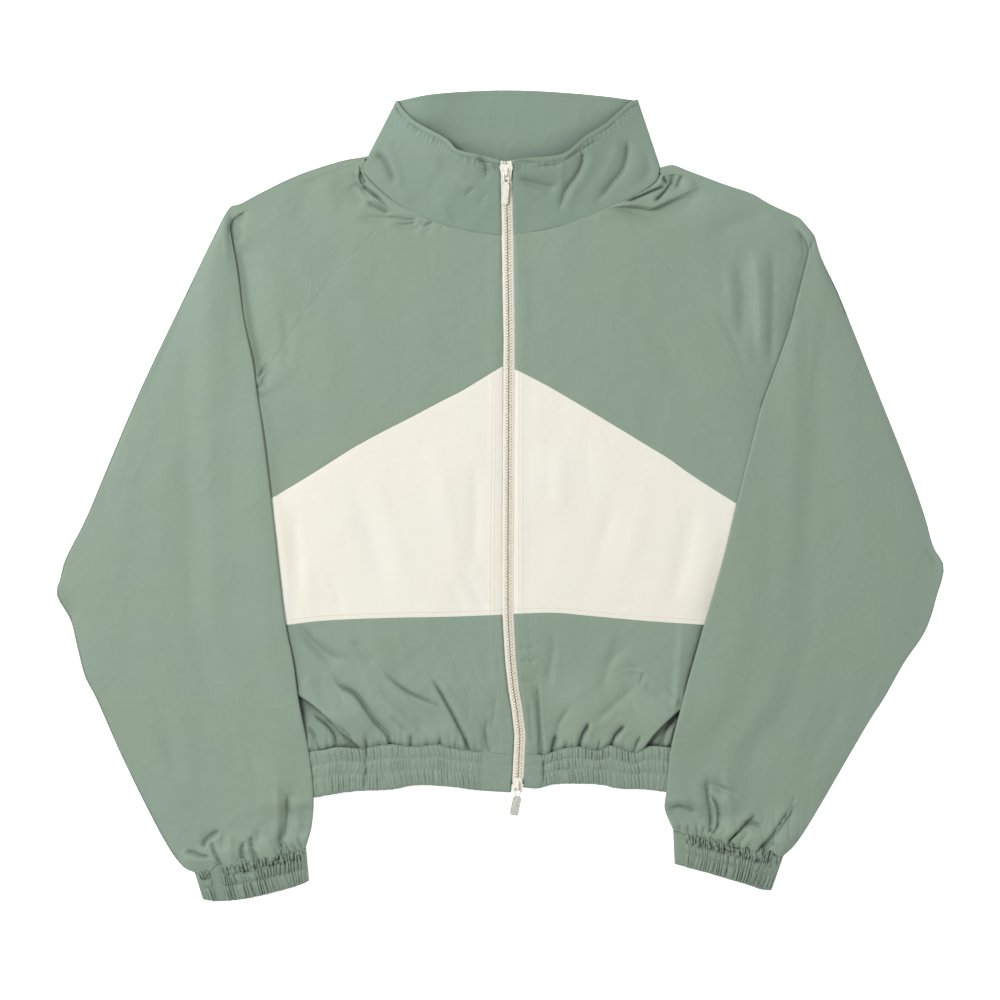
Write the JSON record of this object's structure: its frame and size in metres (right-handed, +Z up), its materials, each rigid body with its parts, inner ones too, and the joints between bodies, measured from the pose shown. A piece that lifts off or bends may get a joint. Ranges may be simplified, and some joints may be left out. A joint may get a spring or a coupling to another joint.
{
  "type": "bomber jacket",
  "caption": "Light nylon bomber jacket with raglan sleeves, a stand collar, a full-length front zip and elasticated hem and cuffs, laid flat with its front up.",
  "frame": {"origin": "on the surface that the jacket lies on, under the middle of its outline seen from above", "axes": "+X to the right as the jacket is seen from above, +Y from the hem to the collar, +Z up from the surface"},
  "size_m": [0.891, 0.8112, 0.0239],
  "materials": {
    "sage_nylon": "thin plain-woven nylon, dull with a slight sheen",
    "cream_nylon": "the same thin nylon in warm off-white",
    "sage_band": "the same nylon gathered over wide elastic with two rows of stitching",
    "zip_tape": "fine woven tape, dull",
    "zip_teeth": "moulded off-white teeth, satin",
    "zip_metal": "die-cast metal, lightly polished"
  },
  "bodies": {
    "jacket": {"back_panel": "sage_nylon", "front_upper_left": "sage_nylon", "front_upper_right": "sage_nylon", "front_lower_left": "sage_nylon", "front_lower_right": "sage_nylon", "sleeve_left": "sage_nylon", "sleeve_right": "sage_nylon", "collar": "sage_nylon", "front_chevron_left": "cream_nylon", "front_chevron_right": "cream_nylon", "hem_front_left": "sage_band", "hem_front_right": "sage_band", "hem_back": "sage_band", "cuff_left": "sage_band", "cuff_right": "sage_band", "zip_tape_left": "zip_tape", "zip_tape_right": "zip_tape", "zip_chain": "zip_teeth", "zip_stop_left": "zip_metal", "zip_stop_right": "zip_metal", "slider_top": "zip_metal", "slider_bottom": "zip_metal"},
    "pull_top": {"pull_top": "zip_metal"},
    "pull_bottom": {"pull_bottom": "zip_metal"}
  },
  "joints": [
    {"name": "pull_top_hinge", "type": "hinge", "parent": "jacket", "child": "pull_top", "pos_m": [0.00621, 0.32044, 0.02101], "axis": [-1, 0, 0], "range_deg": [0, 170]},
    {"name": "pull_bottom_hinge", "type": "hinge", "parent": "jacket", "child": "pull_bottom", "pos_m": [0.01757, -0.292, 0.0096], "axis": [-1, 0, 0], "range_deg": [0, 170]}
  ]
}
